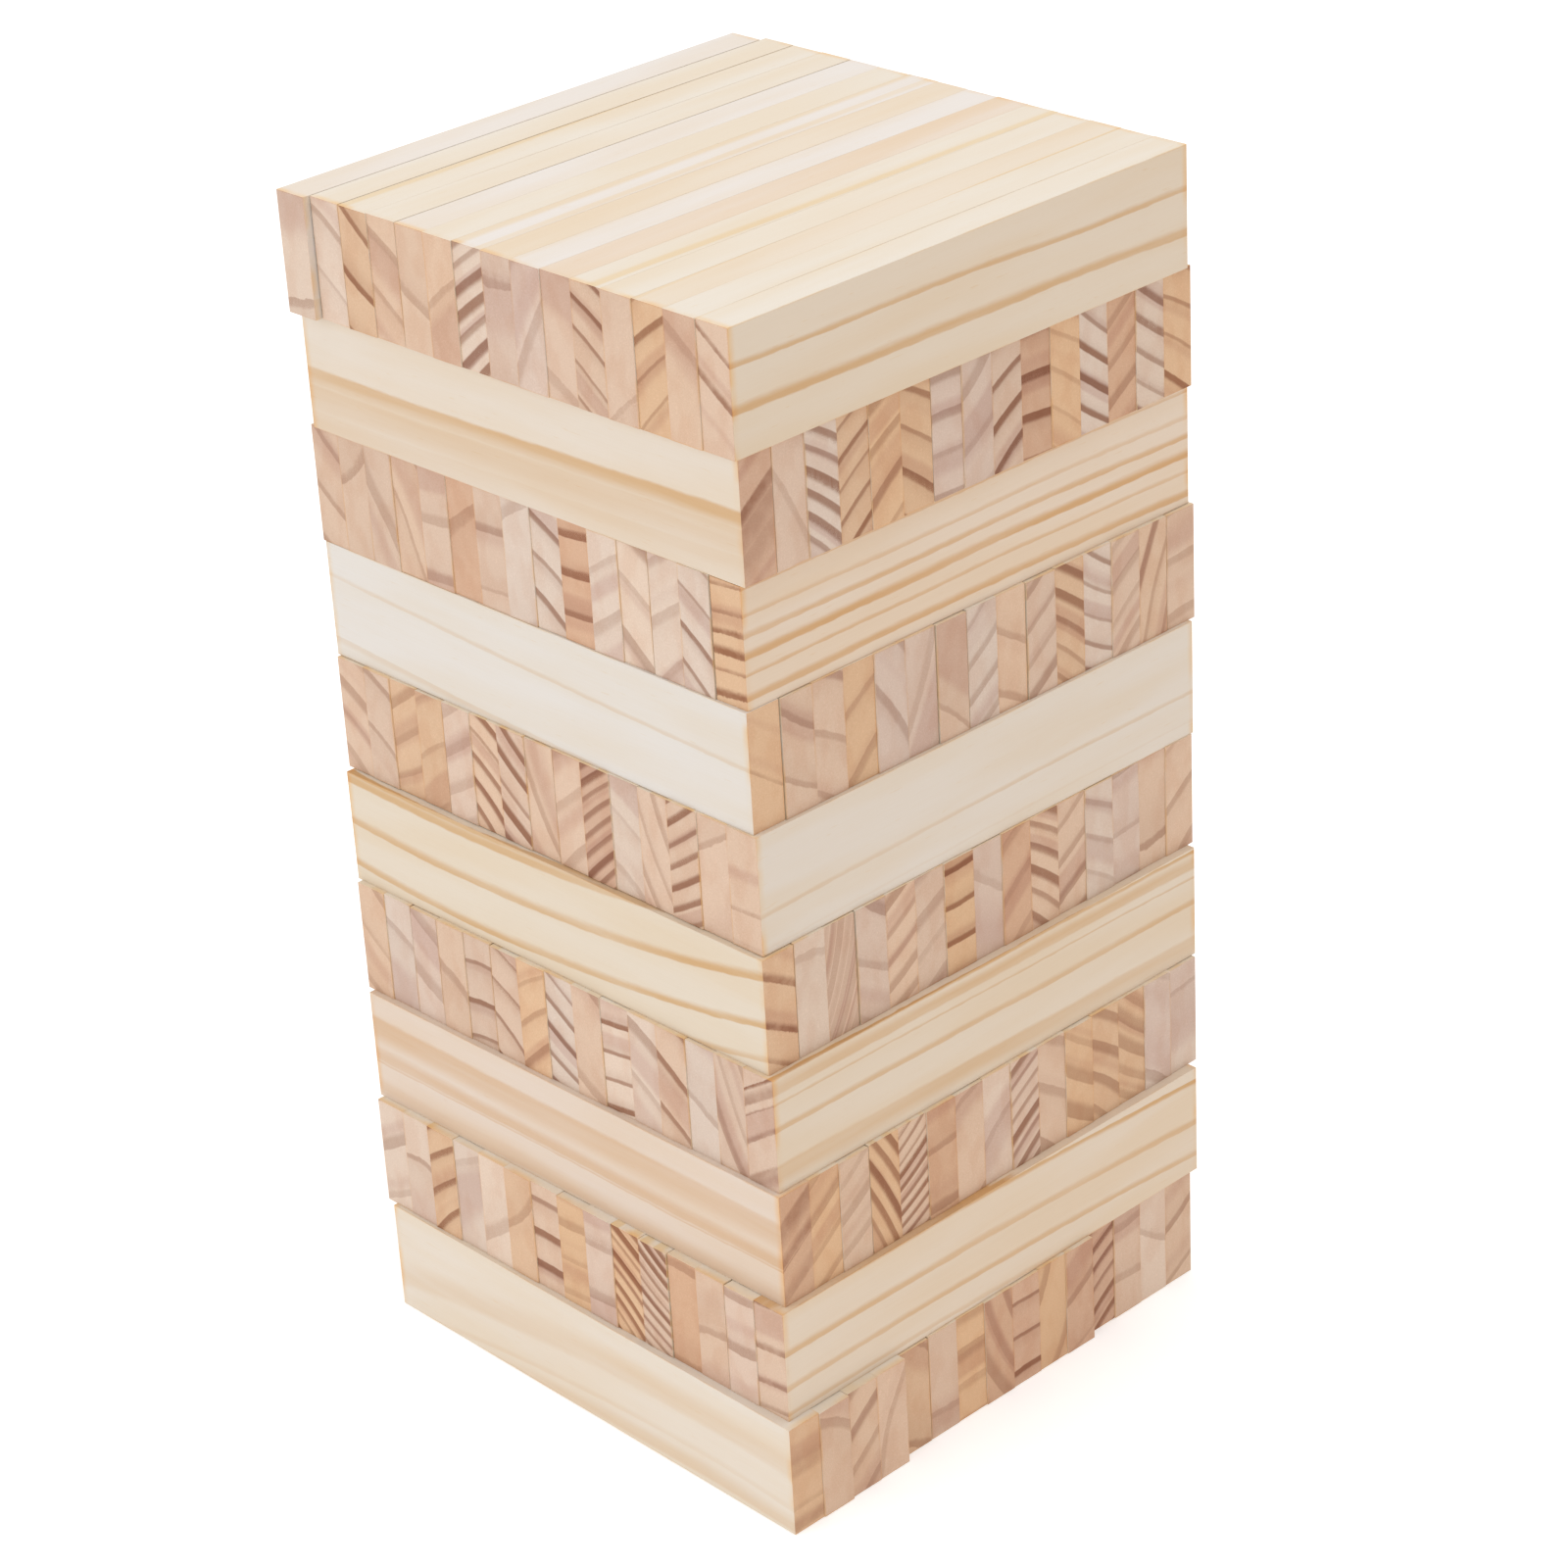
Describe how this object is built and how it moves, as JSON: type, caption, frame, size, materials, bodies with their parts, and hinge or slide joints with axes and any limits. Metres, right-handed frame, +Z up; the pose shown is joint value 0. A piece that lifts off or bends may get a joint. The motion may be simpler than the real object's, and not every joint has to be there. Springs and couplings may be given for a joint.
{
  "type": "tumbling tower",
  "caption": "Free-standing tower of crossed layers of bare pine planks set on edge side by side; planks that carry no load draw out lengthwise, one at a time.",
  "frame": {"origin": "on the ground, under the middle of the tower's bounding box", "axes": "+Z up; planks in odd layers, counted from the top, run along Y and planks in even layers run along X"},
  "size_m": [0.2104, 0.2112, 0.4],
  "materials": {
    "bare_pine": "bare, planed and lightly sanded"
  },
  "bodies": {
    "standing_tower": {"layer_02_bearing_planks": "bare_pine", "layer_03_bearing_planks": "bare_pine", "layer_04_bearing_planks": "bare_pine", "layer_05_bearing_planks": "bare_pine", "layer_06_bearing_planks": "bare_pine", "layer_07_bearing_planks": "bare_pine", "layer_08_bearing_planks": "bare_pine", "layer_09_bearing_planks": "bare_pine", "layer_10_bearing_planks": "bare_pine"},
    "layer_01_plank_01": {"layer_01_plank_01": "bare_pine"},
    "layer_01_plank_02": {"layer_01_plank_02": "bare_pine"},
    "layer_01_plank_03": {"layer_01_plank_03": "bare_pine"},
    "layer_01_plank_04": {"layer_01_plank_04": "bare_pine"},
    "layer_01_plank_05": {"layer_01_plank_05": "bare_pine"},
    "layer_01_plank_06": {"layer_01_plank_06": "bare_pine"},
    "layer_01_plank_07": {"layer_01_plank_07": "bare_pine"},
    "layer_01_plank_08": {"layer_01_plank_08": "bare_pine"},
    "layer_01_plank_09": {"layer_01_plank_09": "bare_pine"},
    "layer_01_plank_10": {"layer_01_plank_10": "bare_pine"},
    "layer_01_plank_11": {"layer_01_plank_11": "bare_pine"},
    "layer_01_plank_12": {"layer_01_plank_12": "bare_pine"},
    "layer_01_plank_13": {"layer_01_plank_13": "bare_pine"},
    "layer_01_plank_14": {"layer_01_plank_14": "bare_pine"},
    "layer_01_plank_15": {"layer_01_plank_15": "bare_pine"},
    "layer_02_plank_01": {"layer_02_plank_01": "bare_pine"},
    "layer_02_plank_07": {"layer_02_plank_07": "bare_pine"},
    "layer_02_plank_10": {"layer_02_plank_10": "bare_pine"},
    "layer_02_plank_13": {"layer_02_plank_13": "bare_pine"},
    "layer_03_plank_03": {"layer_03_plank_03": "bare_pine"},
    "layer_03_plank_07": {"layer_03_plank_07": "bare_pine"},
    "layer_03_plank_12": {"layer_03_plank_12": "bare_pine"},
    "layer_03_plank_15": {"layer_03_plank_15": "bare_pine"},
    "layer_04_plank_02": {"layer_04_plank_02": "bare_pine"},
    "layer_04_plank_07": {"layer_04_plank_07": "bare_pine"},
    "layer_04_plank_10": {"layer_04_plank_10": "bare_pine"},
    "layer_04_plank_15": {"layer_04_plank_15": "bare_pine"},
    "layer_05_plank_01": {"layer_05_plank_01": "bare_pine"},
    "layer_05_plank_04": {"layer_05_plank_04": "bare_pine"},
    "layer_05_plank_08": {"layer_05_plank_08": "bare_pine"},
    "layer_05_plank_12": {"layer_05_plank_12": "bare_pine"},
    "layer_06_plank_01": {"layer_06_plank_01": "bare_pine"},
    "layer_06_plank_03": {"layer_06_plank_03": "bare_pine"},
    "layer_06_plank_08": {"layer_06_plank_08": "bare_pine"},
    "layer_06_plank_12": {"layer_06_plank_12": "bare_pine"},
    "layer_07_plank_03": {"layer_07_plank_03": "bare_pine"},
    "layer_07_plank_06": {"layer_07_plank_06": "bare_pine"},
    "layer_07_plank_10": {"layer_07_plank_10": "bare_pine"},
    "layer_07_plank_13": {"layer_07_plank_13": "bare_pine"},
    "layer_08_plank_03": {"layer_08_plank_03": "bare_pine"},
    "layer_08_plank_07": {"layer_08_plank_07": "bare_pine"},
    "layer_08_plank_11": {"layer_08_plank_11": "bare_pine"},
    "layer_08_plank_15": {"layer_08_plank_15": "bare_pine"},
    "layer_09_plank_04": {"layer_09_plank_04": "bare_pine"},
    "layer_09_plank_08": {"layer_09_plank_08": "bare_pine"},
    "layer_09_plank_11": {"layer_09_plank_11": "bare_pine"},
    "layer_09_plank_14": {"layer_09_plank_14": "bare_pine"},
    "layer_10_plank_02": {"layer_10_plank_02": "bare_pine"},
    "layer_10_plank_05": {"layer_10_plank_05": "bare_pine"},
    "layer_10_plank_09": {"layer_10_plank_09": "bare_pine"},
    "layer_10_plank_13": {"layer_10_plank_13": "bare_pine"}
  },
  "joints": [
    {"name": "draw_01_01", "type": "slide", "parent": "standing_tower", "child": "layer_01_plank_01", "axis": [-0.0052, 1, 0], "range_m": [-0.195, 0.195]},
    {"name": "draw_01_02", "type": "slide", "parent": "standing_tower", "child": "layer_01_plank_02", "axis": [-0.0052, 1, 0], "range_m": [-0.195, 0.195]},
    {"name": "draw_01_03", "type": "slide", "parent": "standing_tower", "child": "layer_01_plank_03", "axis": [-0.0052, 1, 0], "range_m": [-0.195, 0.195]},
    {"name": "draw_01_04", "type": "slide", "parent": "standing_tower", "child": "layer_01_plank_04", "axis": [-0.0052, 1, 0], "range_m": [-0.195, 0.195]},
    {"name": "draw_01_05", "type": "slide", "parent": "standing_tower", "child": "layer_01_plank_05", "axis": [-0.0052, 1, 0], "range_m": [-0.195, 0.195]},
    {"name": "draw_01_06", "type": "slide", "parent": "standing_tower", "child": "layer_01_plank_06", "axis": [-0.0052, 1, 0], "range_m": [-0.195, 0.195]},
    {"name": "draw_01_07", "type": "slide", "parent": "standing_tower", "child": "layer_01_plank_07", "axis": [-0.0052, 1, 0], "range_m": [-0.195, 0.195]},
    {"name": "draw_01_08", "type": "slide", "parent": "standing_tower", "child": "layer_01_plank_08", "axis": [-0.0052, 1, 0], "range_m": [-0.195, 0.195]},
    {"name": "draw_01_09", "type": "slide", "parent": "standing_tower", "child": "layer_01_plank_09", "axis": [-0.0052, 1, 0], "range_m": [-0.195, 0.195]},
    {"name": "draw_01_10", "type": "slide", "parent": "standing_tower", "child": "layer_01_plank_10", "axis": [-0.0052, 1, 0], "range_m": [-0.195, 0.195]},
    {"name": "draw_01_11", "type": "slide", "parent": "standing_tower", "child": "layer_01_plank_11", "axis": [-0.0052, 1, 0], "range_m": [-0.195, 0.195]},
    {"name": "draw_01_12", "type": "slide", "parent": "standing_tower", "child": "layer_01_plank_12", "axis": [-0.0052, 1, 0], "range_m": [-0.195, 0.195]},
    {"name": "draw_01_13", "type": "slide", "parent": "standing_tower", "child": "layer_01_plank_13", "axis": [-0.0052, 1, 0], "range_m": [-0.195, 0.195]},
    {"name": "draw_01_14", "type": "slide", "parent": "standing_tower", "child": "layer_01_plank_14", "axis": [-0.0052, 1, 0], "range_m": [-0.195, 0.195]},
    {"name": "draw_01_15", "type": "slide", "parent": "standing_tower", "child": "layer_01_plank_15", "axis": [-0.0052, 1, 0], "range_m": [-0.195, 0.195]},
    {"name": "draw_02_01", "type": "slide", "parent": "standing_tower", "child": "layer_02_plank_01", "axis": [1, 0.0052, 0], "range_m": [-0.195, 0.195]},
    {"name": "draw_02_07", "type": "slide", "parent": "standing_tower", "child": "layer_02_plank_07", "axis": [1, 0.0052, 0], "range_m": [-0.195, 0.195]},
    {"name": "draw_02_10", "type": "slide", "parent": "standing_tower", "child": "layer_02_plank_10", "axis": [1, 0.0052, 0], "range_m": [-0.195, 0.195]},
    {"name": "draw_02_13", "type": "slide", "parent": "standing_tower", "child": "layer_02_plank_13", "axis": [1, 0.0052, 0], "range_m": [-0.195, 0.195]},
    {"name": "draw_03_03", "type": "slide", "parent": "standing_tower", "child": "layer_03_plank_03", "axis": [0, 1, 0], "range_m": [-0.195, 0.195]},
    {"name": "draw_03_07", "type": "slide", "parent": "standing_tower", "child": "layer_03_plank_07", "axis": [0, 1, 0], "range_m": [-0.195, 0.195]},
    {"name": "draw_03_12", "type": "slide", "parent": "standing_tower", "child": "layer_03_plank_12", "axis": [0, 1, 0], "range_m": [-0.195, 0.195]},
    {"name": "draw_03_15", "type": "slide", "parent": "standing_tower", "child": "layer_03_plank_15", "axis": [0, 1, 0], "range_m": [-0.195, 0.195]},
    {"name": "draw_04_02", "type": "slide", "parent": "standing_tower", "child": "layer_04_plank_02", "axis": [1, -0.0052, 0], "range_m": [-0.195, 0.195]},
    {"name": "draw_04_07", "type": "slide", "parent": "standing_tower", "child": "layer_04_plank_07", "axis": [1, -0.0052, 0], "range_m": [-0.195, 0.195]},
    {"name": "draw_04_10", "type": "slide", "parent": "standing_tower", "child": "layer_04_plank_10", "axis": [1, -0.0052, 0], "range_m": [-0.195, 0.195]},
    {"name": "draw_04_15", "type": "slide", "parent": "standing_tower", "child": "layer_04_plank_15", "axis": [1, -0.0052, 0], "range_m": [-0.195, 0.195]},
    {"name": "draw_05_01", "type": "slide", "parent": "standing_tower", "child": "layer_05_plank_01", "axis": [0.0035, 1, 0], "range_m": [-0.195, 0.195]},
    {"name": "draw_05_04", "type": "slide", "parent": "standing_tower", "child": "layer_05_plank_04", "axis": [0.0035, 1, 0], "range_m": [-0.195, 0.195]},
    {"name": "draw_05_08", "type": "slide", "parent": "standing_tower", "child": "layer_05_plank_08", "axis": [0.0035, 1, 0], "range_m": [-0.195, 0.195]},
    {"name": "draw_05_12", "type": "slide", "parent": "standing_tower", "child": "layer_05_plank_12", "axis": [0.0035, 1, 0], "range_m": [-0.195, 0.195]},
    {"name": "draw_06_01", "type": "slide", "parent": "standing_tower", "child": "layer_06_plank_01", "axis": [1, 0.0017, 0], "range_m": [-0.195, 0.195]},
    {"name": "draw_06_03", "type": "slide", "parent": "standing_tower", "child": "layer_06_plank_03", "axis": [1, 0.0017, 0], "range_m": [-0.195, 0.195]},
    {"name": "draw_06_08", "type": "slide", "parent": "standing_tower", "child": "layer_06_plank_08", "axis": [1, 0.0017, 0], "range_m": [-0.195, 0.195]},
    {"name": "draw_06_12", "type": "slide", "parent": "standing_tower", "child": "layer_06_plank_12", "axis": [1, 0.0017, 0], "range_m": [-0.195, 0.195]},
    {"name": "draw_07_03", "type": "slide", "parent": "standing_tower", "child": "layer_07_plank_03", "axis": [-0.0035, 1, 0], "range_m": [-0.195, 0.195]},
    {"name": "draw_07_06", "type": "slide", "parent": "standing_tower", "child": "layer_07_plank_06", "axis": [-0.0035, 1, 0], "range_m": [-0.195, 0.195]},
    {"name": "draw_07_10", "type": "slide", "parent": "standing_tower", "child": "layer_07_plank_10", "axis": [-0.0035, 1, 0], "range_m": [-0.195, 0.195]},
    {"name": "draw_07_13", "type": "slide", "parent": "standing_tower", "child": "layer_07_plank_13", "axis": [-0.0035, 1, 0], "range_m": [-0.195, 0.195]},
    {"name": "draw_08_03", "type": "slide", "parent": "standing_tower", "child": "layer_08_plank_03", "axis": [1, 0.0052, 0], "range_m": [-0.195, 0.195]},
    {"name": "draw_08_07", "type": "slide", "parent": "standing_tower", "child": "layer_08_plank_07", "axis": [1, 0.0052, 0], "range_m": [-0.195, 0.195]},
    {"name": "draw_08_11", "type": "slide", "parent": "standing_tower", "child": "layer_08_plank_11", "axis": [1, 0.0052, 0], "range_m": [-0.195, 0.195]},
    {"name": "draw_08_15", "type": "slide", "parent": "standing_tower", "child": "layer_08_plank_15", "axis": [1, 0.0052, 0], "range_m": [-0.195, 0.195]},
    {"name": "draw_09_04", "type": "slide", "parent": "standing_tower", "child": "layer_09_plank_04", "axis": [0, 1, 0], "range_m": [-0.195, 0.195]},
    {"name": "draw_09_08", "type": "slide", "parent": "standing_tower", "child": "layer_09_plank_08", "axis": [0, 1, 0], "range_m": [-0.195, 0.195]},
    {"name": "draw_09_11", "type": "slide", "parent": "standing_tower", "child": "layer_09_plank_11", "axis": [0, 1, 0], "range_m": [-0.195, 0.195]},
    {"name": "draw_09_14", "type": "slide", "parent": "standing_tower", "child": "layer_09_plank_14", "axis": [0, 1, 0], "range_m": [-0.195, 0.195]},
    {"name": "draw_10_02", "type": "slide", "parent": "standing_tower", "child": "layer_10_plank_02", "axis": [0.9999, -0.0105, 0], "range_m": [-0.195, 0.195]},
    {"name": "draw_10_05", "type": "slide", "parent": "standing_tower", "child": "layer_10_plank_05", "axis": [0.9999, -0.0105, 0], "range_m": [-0.195, 0.195]},
    {"name": "draw_10_09", "type": "slide", "parent": "standing_tower", "child": "layer_10_plank_09", "axis": [0.9999, -0.0105, 0], "range_m": [-0.195, 0.195]},
    {"name": "draw_10_13", "type": "slide", "parent": "standing_tower", "child": "layer_10_plank_13", "axis": [0.9999, -0.0105, 0], "range_m": [-0.195, 0.195]}
  ]
}
